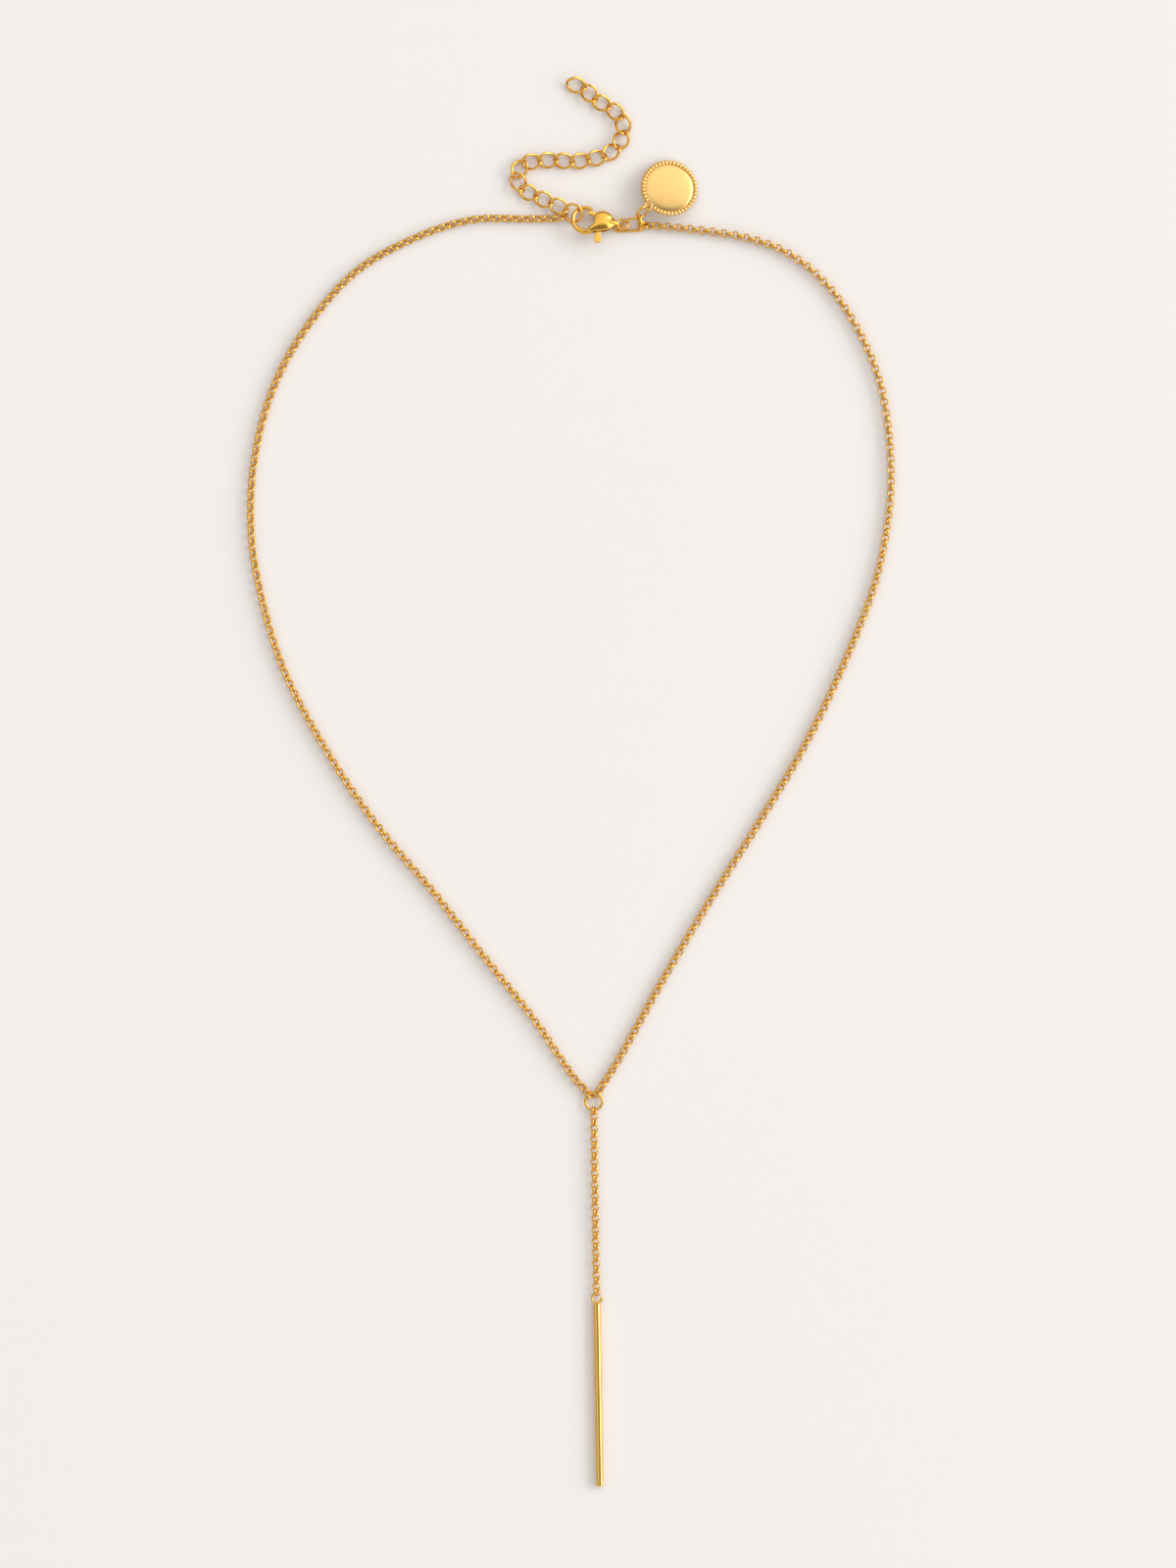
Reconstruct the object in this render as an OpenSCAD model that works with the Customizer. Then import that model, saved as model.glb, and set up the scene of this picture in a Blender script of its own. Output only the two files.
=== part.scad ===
// Y necklace, lying on a flat surface with +Z up and the bar pendant towards -Y.
// A fine chain runs from the clasp down to a small junction ring, where a drop
// chain with a bar pendant hangs. The back has an extender, a clasp and a tag.

/* [Chain links] */
// Outside diameter of a round chain link
link_od = 1.5; // [1.3:0.05:1.7]
// Thickness of a link's wire, from its inside to its outside
link_wire = 0.21; // [0.18:0.01:0.24]
// Width of a link's wire, along its axis
link_width = 0.4; // [0.3:0.05:0.45]
// Clear play between two links
link_play = 0.1; // [0.1:0.01:0.14]
// Links in the drop chain, an odd number so that both ends stand on edge
drop_links = 33; // [21:2:41]

/* [Rings] */
// Outside diameter of the junction ring at the foot of the chain
junction_od = 3.4; // [3.2:0.1:4]
// Outside diameter of the end ring that the hook closes on
end_ring_od = 3.66; // [3.5:0.02:3.8]
// Outside diameter of the standing ring between chain, tag and connector
chain_ring_od = 3; // [2.9:0.02:3.06]
// Outside diameter of the ring that carries the tag
tag_ring_od = 3.22; // [3.1:0.02:3.3]
// Wire of every ring
ring_wire = 0.46; // [0.4:0.02:0.5]
// Outside diameter of the round end links of the chain
end_link_od = 1.7; // [1.6:0.05:1.9]
// Wire of the round end links
end_link_wire = 0.26; // [0.2:0.02:0.3]

/* [Bar pendant] */
// Length of the bar without its eye
bar_length = 31.7; // [20:0.5:45]
// Diameter of the bar
bar_diameter = 1.3; // [1:0.1:2]
// Chamfer at both ends of the bar
bar_chamfer = 0.12; // [0.05:0.01:0.2]
// Outside diameter of the eye on top of the bar
bar_eye_od = 2.15; // [2:0.05:2.6]
// Wire of that eye
bar_eye_wire = 0.42; // [0.36:0.02:0.46]
// Opening left in that eye, in degrees
bar_eye_opening = 24; // [10:2:40]

/* [Extender] */
// Outside length of an extender link
extender_link_length = 3.9; // [3.4:0.1:4.2]
// Outside width of an extender link
extender_link_width = 3; // [2.6:0.1:3.4]
// Wire of an extender link
extender_wire = 0.48; // [0.4:0.02:0.54]
// Clear play between two extender links
extender_play = 0.1; // [0.08:0.01:0.14]

/* [Clasp] */
// Width of the hook's opening
hook_bore = 3.4; // [3.2:0.1:3.6]
// Width of the hook's wire, seen from above
hook_wire = 0.78; // [0.7:0.02:0.86]
// Height of the hook's wire
hook_height = 0.9; // [0.8:0.05:1.1]
// Diameter of the clasp's round body
body_diameter = 3.64; // [3.4:0.02:3.8]
// Height of the clasp's body at its middle
body_height = 2; // [1.9:0.05:2.2]
// Outside diameter of the tail eye
tail_eye_od = 2.15; // [2:0.05:2.4]
// Wire of the tail eye
tail_eye_wire = 0.4; // [0.34:0.02:0.42]
// Length from the middle of the hook's opening to the middle of the tail eye
tail_reach = 6.6; // [6.4:0.05:6.8]
// Height of the lever between the body's two cheeks
lever_height = 0.64; // [0.5:0.02:0.72]
// Width of the lever's gate
gate_width = 0.7; // [0.6:0.02:0.76]
// Reach of the thumb tab below the rivet
tab_reach = 2.3; // [1.8:0.1:2.6]
// Width of the thumb tab
tab_width = 1.34; // [1.1:0.02:1.5]
// Diameter of the rivet that the lever turns on
rivet_diameter = 0.5; // [0.4:0.02:0.6]
// Clear play around the lever and the rivet
lever_play = 0.08; // [0.05:0.01:0.12]

/* [Tag] */
// Diameter of the tag over its beads
tag_diameter = 10.1; // [9:0.1:11]
// Thickness of the tag's plate at its edge
tag_thickness = 0.55; // [0.4:0.05:0.7]
// Rise of the tag's domed face above its edge
tag_dome = 0.2; // [0.1:0.02:0.3]
// Diameter of a bead of the rim
tag_bead = 0.76; // [0.7:0.02:0.84]
// Beads around the rim
tag_beads = 44; // [40:1:46]
// Outside diameter of the tag's eye
tag_eye_od = 1.6; // [1.5:0.05:1.8]
// Wire of the tag's eye
tag_eye_wire = 0.34; // [0.3:0.02:0.4]

/* [Hidden] */
// Middle of the two flat rings and of the hook's opening, in the plane of the surface
junction_at = [3.9, -55.3];
end_ring_at = [0.27, 98.67];
hook_at = [2.4, 97.7];

// The chain's two strands, from the clasp down to the junction ring. The points
// are chosen along the photographed necklace.
left_route = [
    [-7.5, 97.7], [-17.5, 97.5], [-28, 94], [-38, 88], [-46.5, 78], [-52, 67.5],
    [-55, 55.5], [-55.5, 44], [-54, 33.5], [-50, 20], [-43, 6.5], [-34, -7],
    [-23.5, -19.5], [-14.5, -31], [-6.5, -41], [0, -50.5]
];
right_route = [
    [20, 96], [30, 94.5], [38, 91.5], [45, 85.5], [50.5, 77], [54, 67.5],
    [55.5, 56], [55, 46], [52.5, 34], [47, 20], [40.5, 6.5], [32.5, -7],
    [24, -20.5], [16, -34], [8.5, -47.5]
];
// Middle of the connector's wire, round its loop from the upper right. It runs
// over the tail eye's wire, down through the eye and along the surface.
connector_route = [
    [11.05, 97.7, 1.3], [10.3, 97.65, 1.45], [9.6, 97.4, 1.45], [9.2, 97.1, 1.2],
    [8.85, 96.65, 0.8], [8.15, 96.2, 0.42], [7.55, 96, 0.28], [7.75, 95.7, 0.26],
    [8.35, 95.6, 0.26], [9.85, 95.65, 0.26], [11.05, 95.75, 0.28], [12, 95.75, 0.3],
    [12.6, 96.3, 0.5], [12.4, 97.05, 0.85], [11.8, 97.55, 1.15]
];
// Heading of each extender link towards the end ring, free end first, in degrees
extender_headings = [
    -15, -50, -25, -40, -80, -115, -145, -170, -170, -190, -175, -175, -125, -65, -25, -25, -25
];

gold = [0.9, 0.69, 0.24];
pale_gold = [0.96, 0.8, 0.42];
deep_gold = [0.8, 0.56, 0.16];

strand_sides = 8;
strand_rings = 40;
curb_twist = 45;
curb_steps = 16;
curb_sides = 6;
touch = 0.05;

link_hole = link_od - 2 * link_wire;
link_pitch = link_hole - link_play;
strand_radius = link_od / 2;
// Height of the strand's middle above the surface, with a flat side down
strand_z = strand_radius * cos(180 / strand_sides);

// Straight and turned places

function direction(angle) = [cos(angle), sin(angle), 0];
function turned(v, angle) = [
    v[0] * cos(angle) - v[1] * sin(angle), v[0] * sin(angle) + v[1] * cos(angle), v[2]
];
function unit(v) = v / norm(v);
function heading(v) = atan2(v[1], v[0]);

// A ring of round wire, flat, around the origin
module wire_ring(od, wire) {
    rotate_extrude($fn = 48)
        translate([(od - wire) / 2, 0])
            circle(d = wire, $fn = 24);
}

// Puts children at a place with their axis along v
module along(place, v) {
    translate(place)
        rotate([0, acos(v[2] / norm(v)), heading(v)])
            children();
}

// Swept strands

// One point of a smooth curve through p1 and p2, with p0 and p3 beyond them
function curve_point(p0, p1, p2, p3, t) =
    0.5 * (2 * p1 + (p2 - p0) * t + (2 * p0 - 5 * p1 + 4 * p2 - p3) * t * t
        + (3 * p1 - p0 - 3 * p2 + p3) * t * t * t);

// A point of the route at u, where whole numbers are the route's own points
function route_point(route, u) =
    let (last = len(route) - 1,
         i = min(floor(u), last - 1),
         before = i > 0 ? route[i - 1] : 2 * route[0] - route[1],
         after = i < last - 1 ? route[i + 2] : 2 * route[last] - route[last - 1])
    curve_point(before, route[i], route[i + 1], after, u - i);

// A closed tube of rings along the route, sides flat on the surface below
module strand(route, radius, rings, sides) {
    last = len(route) - 1;
    centres = [for (k = [0 : rings - 1]) route_point(route, last * k / (rings - 1))];
    points = [
        for (k = [0 : rings - 1])
            let (ahead = unit(centres[min(k + 1, rings - 1)] - centres[max(k - 1, 0)]),
                 across = unit([-ahead[1], ahead[0], 0]),
                 up = cross(ahead, across))
            for (s = [0 : sides - 1])
                let (angle = (s + 0.5) * 360 / sides)
                centres[k] + radius * (cos(angle) * across + sin(angle) * up)
    ];
    walls = [
        for (k = [0 : rings - 2]) for (s = [0 : sides - 1])
            let (n = (s + 1) % sides)
            [k * sides + s, (k + 1) * sides + s, (k + 1) * sides + n, k * sides + n]
    ];
    near_end = [for (s = [0 : sides - 1]) s];
    far_end = [for (s = [sides - 1 : -1 : 0]) (rings - 1) * sides + s];
    polyhedron(points, concat(walls, [near_end, far_end]), convexity = 10);
}

// A closed wire round a route that returns to its first point
module wire_loop(route, wire, steps, sides) {
    count = len(route);
    total = count * steps;
    centres = [
        for (k = [0 : total - 1])
            let (i = floor(k / steps))
            curve_point(route[(i + count - 1) % count], route[i], route[(i + 1) % count],
                route[(i + 2) % count], k / steps - i)
    ];
    points = [
        for (k = [0 : total - 1])
            let (ahead = unit(centres[(k + 1) % total] - centres[(k + total - 1) % total]),
                 across = unit([-ahead[1], ahead[0], 0]),
                 up = cross(ahead, across))
            for (s = [0 : sides - 1])
                let (angle = s * 360 / sides)
                centres[k] + wire / 2 * (cos(angle) * across + sin(angle) * up)
    ];
    faces = [
        for (k = [0 : total - 1]) for (s = [0 : sides - 1])
            let (k2 = (k + 1) % total, s2 = (s + 1) % sides)
            [k * sides + s, k2 * sides + s, k2 * sides + s2, k * sides + s2]
    ];
    polyhedron(points, faces, convexity = 6);
}

// Chain

// A chain link with flat wire, around the Z axis
module chain_link() {
    rotate_extrude($fn = 32)
        translate([(link_od - link_wire) / 2, 0]) {
            square([link_wire, link_width - link_wire], center = true);
            for (side = [-1, 1])
                translate([0, side * (link_width - link_wire) / 2])
                    circle(d = link_wire, $fn = 16);
        }
}

// Height of the junction ring, which the links under its wire hold up
ring_rest_z = 0.6;

junction_radius = (junction_od - ring_wire) / 2;
junction_centre = [junction_at[0], junction_at[1], ring_rest_z];
foot_link_z = 0.67;
foot_link_lean = 45;
left_foot_angle = 122;
right_foot_angle = 66;
strand_clear = end_link_od / 2 + strand_radius * 0.35;

function foot_link_centre(angle) =
    [junction_centre[0], junction_centre[1], foot_link_z] + junction_radius * direction(angle);
function foot_link_axis(angle) =
    cos(foot_link_lean) * direction(angle - 90) + [0, 0, sin(foot_link_lean)];
// Where a strand ends above its foot link, on the way to the next point of its route
function foot_end(angle, next) =
    let (centre = foot_link_centre(angle), away = unit([next[0], next[1], centre[2]] - centre))
    [centre[0], centre[1], strand_z] + strand_clear * away;

function raised(route) = [for (p = route) [p[0], p[1], strand_z]];

end_ring_tilt = 27;
end_ring_high_side = 60;
end_ring_radius = (end_ring_od - ring_wire) / 2;
end_ring_centre = [end_ring_at[0], end_ring_at[1], 1.11];
// A point of the end ring's wire in the direction that angle gives in its own plane
function end_ring_point(angle) =
    let (local = angle - end_ring_high_side,
         x = end_ring_radius * cos(local) * cos(end_ring_tilt),
         z = end_ring_radius * cos(local) * sin(end_ring_tilt),
         flat = turned([x, end_ring_radius * sin(local), 0], end_ring_high_side))
    end_ring_centre + flat + [0, 0, z];

left_top_centre = [-1.3, 98.4, 0.87];
left_strand_route = concat(
    [[left_top_centre[0] - strand_clear, left_top_centre[1] - 0.6, strand_z]],
    raised(left_route),
    [foot_end(left_foot_angle, left_route[len(left_route) - 1])]
);

chain_ring_radius = (chain_ring_od - ring_wire) / 2;
chain_ring_centre = [11.87, 97.09, chain_ring_od / 2 + touch];
chain_ring_turn = -84;
chain_ring_lean = -8;
right_top_centre = [12.77, 96.61, 0.8];
right_strand_route = concat(
    [[right_top_centre[0] + strand_clear, right_top_centre[1], strand_z]],
    raised(right_route),
    [foot_end(right_foot_angle, right_route[len(right_route) - 1])]
);

module chain_left() {
    color(gold)
        strand(left_strand_route, strand_radius, strand_rings, strand_sides);
}

module chain_right() {
    color(gold)
        strand(right_strand_route, strand_radius, strand_rings, strand_sides);
}

module left_top_link() {
    color(gold)
        translate(left_top_centre)
            rotate([115, 0, 12])
                wire_ring(end_link_od, end_link_wire);
}

module left_foot_link() {
    color(gold)
        along(foot_link_centre(left_foot_angle), foot_link_axis(left_foot_angle))
            wire_ring(end_link_od, end_link_wire);
}

module right_top_link() {
    color(gold)
        translate(right_top_centre)
            rotate([131, 0, 3])
                wire_ring(end_link_od, end_link_wire);
}

module right_foot_link() {
    color(gold)
        along(foot_link_centre(right_foot_angle), foot_link_axis(right_foot_angle))
            wire_ring(end_link_od, end_link_wire);
}

module junction_ring() {
    color(gold)
        translate(junction_centre)
            wire_ring(junction_od, ring_wire);
}

// Drop chain and bar pendant

drop_lean = 0.9;
drop_way = direction(-90 + drop_lean);
// The first link hangs on the junction ring, the bar's eye in the last link
first_drop_reach = link_hole / 2 - ring_wire / 2 - 1.5 * link_play;
bar_eye_hang = link_hole / 2 - bar_eye_wire / 2 - 1.1 * link_play;
first_drop_centre = [junction_centre[0], junction_centre[1] - junction_radius, link_od / 2]
    + first_drop_reach * drop_way;
last_drop_centre = first_drop_centre + (drop_links - 1) * link_pitch * drop_way;

module drop_chain() {
    color(gold)
        for (i = [0 : drop_links - 1])
            translate(first_drop_centre + i * link_pitch * drop_way)
                rotate([0, 0, drop_lean])
                    rotate([0, i % 2 == 0 ? 90 : 0, 0])
                        chain_link();
}

bar_eye_radius = (bar_eye_od - bar_eye_wire) / 2;
bar_eye_centre = last_drop_centre + (bar_eye_hang + bar_eye_radius) * drop_way
    + [0, 0, bar_diameter / 2 - link_od / 2];
bar_eye_start = 42;
// The bar's top face cuts into the eye's wire, where the two are soldered
bar_top_reach = bar_eye_od / 2 - bar_eye_wire * 0.4;

module bar_pendant() {
    color(pale_gold)
        translate(bar_eye_centre)
            rotate([0, 0, drop_lean]) {
                rotate([0, 0, bar_eye_start])
                    rotate_extrude(angle = 360 - bar_eye_opening, $fn = 48)
                        translate([bar_eye_radius, 0])
                            circle(d = bar_eye_wire, $fn = 24);
                translate([0, -bar_top_reach, 0])
                    rotate([90, 0, 0])
                        bar();
            }
}

// The bar along +Z with its top face at the origin
module bar() {
    full = bar_diameter / 2;
    small = full - bar_chamfer;
    rotate_extrude($fn = 48)
        polygon([
            [0, 0], [small, 0], [full, bar_chamfer], [full, bar_length - bar_chamfer],
            [small, bar_length], [0, bar_length]
        ]);
}

// Extender

curb_half_length = (extender_link_length - extender_wire) / 2;
curb_half_width = (extender_link_width - extender_wire) / 2;
curb_z = 0.76;

// Centreline of a twisted oval link along X, at an angle around it
function curb_point(angle) =
    let (x = curb_half_length * cos(angle),
         across = curb_half_width * sin(angle),
         twist = -curb_twist * cos(angle))
    [x, across * cos(twist), across * sin(twist)];

module curb_link() {
    centres = [for (k = [0 : curb_steps - 1]) curb_point(k * 360 / curb_steps)];
    points = [
        for (k = [0 : curb_steps - 1])
            let (next = centres[(k + 1) % curb_steps],
                 last = centres[(k + curb_steps - 1) % curb_steps],
                 ahead = unit(next - last),
                 out = unit(centres[k] - ahead * (centres[k] * ahead)),
                 side = cross(ahead, out))
            for (s = [0 : curb_sides - 1])
                let (angle = s * 360 / curb_sides)
                centres[k] + extender_wire / 2 * (cos(angle) * out + sin(angle) * side)
    ];
    faces = [
        for (k = [0 : curb_steps - 1]) for (s = [0 : curb_sides - 1])
            let (k2 = (k + 1) % curb_steps, s2 = (s + 1) % curb_sides)
            [k * curb_sides + s, k2 * curb_sides + s, k2 * curb_sides + s2, k * curb_sides + s2]
    ];
    polyhedron(points, faces, convexity = 4);
}

// Clear distance between the ends of two links that are turned from each other
function curb_step(turn) =
    (extender_wire + extender_play) * sqrt(1 + pow(tan(turn / 2) / sin(curb_twist), 2));

extender_count = len(extender_headings);
extender_hook_angle = 155;
last_extender_way = direction(extender_headings[extender_count - 1]);
last_extender_centre =
    end_ring_point(extender_hook_angle)
    + ((extender_wire + ring_wire) / 2 + extender_play - curb_half_length) * last_extender_way;

// Middle of each link, found from the one before it on the way from the ring
function extender_centre(i) =
    i == extender_count - 1 ? last_extender_centre :
    let (turn = extender_headings[i + 1] - extender_headings[i],
         reach = curb_half_length - curb_step(turn) / 2,
         next = extender_centre(i + 1),
         z = max(curb_z, next[2] - 0.2),
         flat = next - reach * (direction(extender_headings[i]) + direction(extender_headings[i + 1])))
    [flat[0], flat[1], z];

module extender_link(i) {
    color(gold)
        translate(extender_centre(i))
            rotate([0, 0, extender_headings[i]])
                curb_link();
}

// Clasp. Its own frame has the middle of the hook's opening at the origin, +X
// towards the tail eye and Z through its thickness.

clasp_turn = [-14, 3, -6];
clasp_z = 1.3;
hook_centre = [0, -0.15];
hook_radius = hook_bore / 2 + hook_wire / 2;
hook_tip_angle = 56;
hook_root_angle = 318;
// The hook's outer edge is set off towards the thumb, where its wire is widest
hook_outer_centre = [0.1, -0.36];
hook_outer_radius = 2.58;
hook_rim = 0.16;
body_radius = body_diameter / 2;
body_at = [3.1, -0.2];
tail_eye_at = [tail_reach, -0.28];
neck_at = [tail_reach - tail_eye_od / 2, -0.24];
neck_radius = 0.38;
// Radius of the curve that rounds both faces of the body, across and along it
body_round_across = 3;
body_round_along = 8;
rivet_at = [2.5, -1.85];
elbow_at = [2.05, 0.85];
nose_at = [0.74, 1.1];
lever_arm_width = 0.8;
// The web that joins the body to the hook's foot
web_ends = [[2.1, -1.75], [0.4, -2.15]];
web_width = 0.95;
// The space between the two cheeks, open towards the hook and the thumb
lever_slot_outline = [
    [0, 0], [1, -1], [1.5, -1.75], [1.5, -3.4], [4.4, -3.4], [4.4, -1.25],
    [3.3, -0.8], [2.9, 0.6], [2.6, 1.1], [2.25, 1.5], [1.5, 1.95], [0.6, 1.3]
];
// The hook's open side, which its widened edge keeps out of
hook_mouth_reach = 4;
hook_mouth_corners = [[5, 4], [5, -2], [1.55, -1.5]];

module in_clasp_place() {
    translate([hook_at[0], hook_at[1], clasp_z])
        rotate(clasp_turn)
            children();
}

// A straight bar with round ends, flat
module slat(from, to, width) {
    reach = norm(to - from);
    translate(from)
        rotate(atan2(to[1] - from[1], to[0] - from[0]))
            translate([0, -width / 2])
                square([reach, width]);
    for (end = [from, to])
        translate(end)
            circle(d = width, $fn = 32);
}

module clasp_outline() {
    difference() {
        union() {
            translate(body_at)
                circle(r = body_radius, $fn = 64);
            polygon([
                body_at + body_radius * [cos(48), sin(48)],
                body_at + body_radius * [cos(-52), sin(-52)],
                neck_at + neck_radius * [cos(-75), sin(-75)],
                neck_at + neck_radius * [cos(75), sin(75)]
            ]);
            translate(neck_at)
                circle(r = neck_radius, $fn = 32);
            slat(web_ends[0], web_ends[1], web_width);
        }
        translate(hook_centre)
            circle(d = hook_bore, $fn = 64);
    }
}

module lever_slot() {
    linear_extrude(height = lever_height + 2 * lever_play, center = true)
        polygon(lever_slot_outline);
}

module lever_outline(play) {
    tab_end = rivet_at + [-0.05, tab_width / 2 - tab_reach];
    slat(rivet_at, elbow_at, lever_arm_width + 2 * play);
    slat(elbow_at, nose_at, gate_width + 2 * play);
    slat(rivet_at, tab_end, lever_arm_width + 2 * play);
    translate(tab_end)
        circle(d = tab_width + 2 * play, $fn = 48);
}

// The hook, wider at its foot, with the notch under its tip where the nose rests
module hook() {
    difference() {
        union() {
            translate(hook_centre)
                rotate([0, 0, hook_tip_angle])
                    rotate_extrude(angle = hook_root_angle - hook_tip_angle, $fn = 72)
                        translate([hook_radius, 0]) {
                            square([hook_wire, hook_height - hook_wire], center = true);
                            for (side = [-1, 1])
                                translate([0, side * (hook_height - hook_wire) / 2])
                                    circle(d = hook_wire, $fn = 24);
                        }
            linear_extrude(height = hook_height - 2 * hook_rim, center = true)
                difference() {
                    translate(hook_outer_centre)
                        circle(r = hook_outer_radius, $fn = 96);
                    translate(hook_centre)
                        circle(r = hook_radius, $fn = 72);
                    polygon(concat(
                        [[0, 0], hook_mouth_reach * [cos(hook_tip_angle), sin(hook_tip_angle)]],
                        hook_mouth_corners
                    ));
                }
        }
        linear_extrude(height = 2 * hook_height, center = true)
            slat(elbow_at, nose_at, gate_width + 2 * lever_play);
    }
}

// What lies under one rounded face of the body
module body_face(side) {
    reach = 4 * body_radius;
    translate([body_at[0], body_at[1], 0])
        intersection() {
            translate([0, 0, side * (body_height / 2 - body_round_across)])
                rotate([0, 90, 0])
                    cylinder(h = reach, r = body_round_across, center = true, $fn = 96);
            translate([0, 0, side * (body_height / 2 - body_round_along)])
                rotate([90, 0, 0])
                    cylinder(h = reach, r = body_round_along, center = true, $fn = 192);
        }
}

module clasp_body() {
    color(gold)
        in_clasp_place() {
            difference() {
                union() {
                    intersection() {
                        linear_extrude(height = body_height, center = true)
                            clasp_outline();
                        body_face(1);
                        body_face(-1);
                    }
                    hook();
                }
                lever_slot();
                translate([rivet_at[0], rivet_at[1], -body_height])
                    cylinder(h = 2 * body_height, d = rivet_diameter + lever_play / 2, $fn = 24);
            }
            translate(tail_eye_at)
                wire_ring(tail_eye_od, tail_eye_wire);
        }
}

module clasp_rivet() {
    color(deep_gold)
        in_clasp_place()
            translate([rivet_at[0], rivet_at[1], 0])
                cylinder(h = body_height * 0.72, d = rivet_diameter, center = true, $fn = 24);
}

module clasp_lever() {
    color(gold)
        in_clasp_place()
            difference() {
                linear_extrude(height = lever_height, center = true)
                    lever_outline(0);
                translate([rivet_at[0], rivet_at[1], -lever_height])
                    cylinder(h = 2 * lever_height, d = rivet_diameter + 2 * lever_play, $fn = 24);
            }
}

// Rings beside the clasp

module connector() {
    color(gold)
        wire_loop(connector_route, ring_wire, 4, 10);
}

module chain_ring() {
    color(gold)
        translate(chain_ring_centre)
            rotate([0, 0, chain_ring_turn])
                rotate([90 + chain_ring_lean, 0, 0])
                    wire_ring(chain_ring_od, ring_wire);
}

// Tag. Its eye hangs on the tag ring and its far edge rests on the surface.

tag_eye_at = [13.31, 99.71, 2.63];
tag_high_side = 232;
tag_eye_angle = 222;
tag_core_radius = tag_diameter / 2 - tag_bead * 0.7;
tag_bead_radius = tag_diameter / 2 - tag_bead / 2;
tag_eye_reach = tag_diameter / 2 - 0.05;
tag_dome_radius = (pow(tag_core_radius, 2) + pow(tag_dome, 2)) / (2 * tag_dome);
// How far the eye lies up the slope from the tag's middle, and across it
tag_eye_up = tag_eye_reach * cos(tag_high_side - tag_eye_angle);
tag_eye_across = tag_eye_reach * sin(tag_eye_angle - tag_high_side);
// The lean that takes the far beads down to the surface
tag_lean = asin((tag_eye_at[2] - touch / 2 - tag_bead / 2) / (tag_eye_up + tag_bead_radius));
tag_centre = tag_eye_at - turned(
    [tag_eye_up * cos(tag_lean), tag_eye_across, tag_eye_up * sin(tag_lean)], tag_high_side);

module in_tag_place() {
    translate(tag_centre)
        rotate([0, 0, tag_high_side])
            rotate([0, -tag_lean, 0])
                rotate([0, 0, -tag_high_side])
                    children();
}

module tag() {
    color(pale_gold)
        in_tag_place()
            difference() {
                union() {
                    rotate_extrude($fn = 96)
                        intersection() {
                            translate([0, -tag_thickness / 2])
                                square([tag_core_radius, tag_thickness + tag_dome]);
                            translate([0, tag_thickness / 2 + tag_dome - tag_dome_radius])
                                circle(r = tag_dome_radius, $fn = 1440);
                        }
                    for (i = [0 : tag_beads - 1])
                        rotate([0, 0, tag_eye_angle + (i + 0.5) * 360 / tag_beads])
                            translate([tag_bead_radius, 0, 0])
                                sphere(d = tag_bead, $fn = 18);
                    rotate([0, 0, tag_eye_angle])
                        translate([tag_eye_reach, 0, 0])
                            wire_ring(tag_eye_od, tag_eye_wire);
                }
                // The opening clears the beads inside the eye and takes a little off the inside of its wire
                rotate([0, 0, tag_eye_angle])
                    translate([tag_eye_reach, 0, -tag_bead])
                        cylinder(h = 2 * tag_bead, d = tag_eye_od - 1.8 * tag_eye_wire, $fn = 32);
            }
}

tag_ring_turn = 43.5;
tag_ring_lean = -21;
tag_ring_centre = [12.36, 98.73, 2.55];

module tag_ring() {
    color(gold)
        translate(tag_ring_centre)
            rotate([0, 0, tag_ring_turn])
                rotate([90 + tag_ring_lean, 0, 0])
                    wire_ring(tag_ring_od, ring_wire);
}

chain_left();
chain_right();
left_top_link();
left_foot_link();
right_top_link();
right_foot_link();
junction_ring();
drop_chain();
bar_pendant();
color(gold)  // end_ring
        translate(end_ring_centre)
            rotate([0, 0, end_ring_high_side])
                rotate([0, -end_ring_tilt, 0])
                    wire_ring(end_ring_od, ring_wire);
clasp_body();
clasp_rivet();
clasp_lever();
connector();
chain_ring();
tag_ring();
tag();
for (i = [0 : extender_count - 1])
    extender_link(i);
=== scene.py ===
# %% [markdown]
# A gold-coloured Y necklace lies on a pale surface and is seen from straight above. A fine chain
# of round links runs from a lobster clasp at the back down to a small ring, and a drop chain with
# a slim bar hangs from there. Beside the clasp are a short extender of twisted links and a round
# tag with a beaded rim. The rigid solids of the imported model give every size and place, and this
# script dresses them: it makes the fine chains link by link, rounds the castings and polishes
# the metal.

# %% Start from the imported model
import math

import bmesh
import bpy
from mathutils import Matrix, Vector


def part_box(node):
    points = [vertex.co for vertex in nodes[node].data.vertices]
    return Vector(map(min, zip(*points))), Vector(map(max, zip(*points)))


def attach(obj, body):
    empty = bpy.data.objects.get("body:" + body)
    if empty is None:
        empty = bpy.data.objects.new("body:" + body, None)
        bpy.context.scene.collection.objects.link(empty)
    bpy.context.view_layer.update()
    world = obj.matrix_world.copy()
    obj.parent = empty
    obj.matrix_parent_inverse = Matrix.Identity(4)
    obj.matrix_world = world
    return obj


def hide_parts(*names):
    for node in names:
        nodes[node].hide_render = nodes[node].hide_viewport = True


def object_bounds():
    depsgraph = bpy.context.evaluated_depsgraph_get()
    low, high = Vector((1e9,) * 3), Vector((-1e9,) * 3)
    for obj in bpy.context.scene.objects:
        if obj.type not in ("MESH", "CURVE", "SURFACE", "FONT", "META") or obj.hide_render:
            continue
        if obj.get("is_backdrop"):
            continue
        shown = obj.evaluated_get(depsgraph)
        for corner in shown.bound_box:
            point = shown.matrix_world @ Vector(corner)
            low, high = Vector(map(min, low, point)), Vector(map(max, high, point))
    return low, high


MM = 0.001
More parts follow.
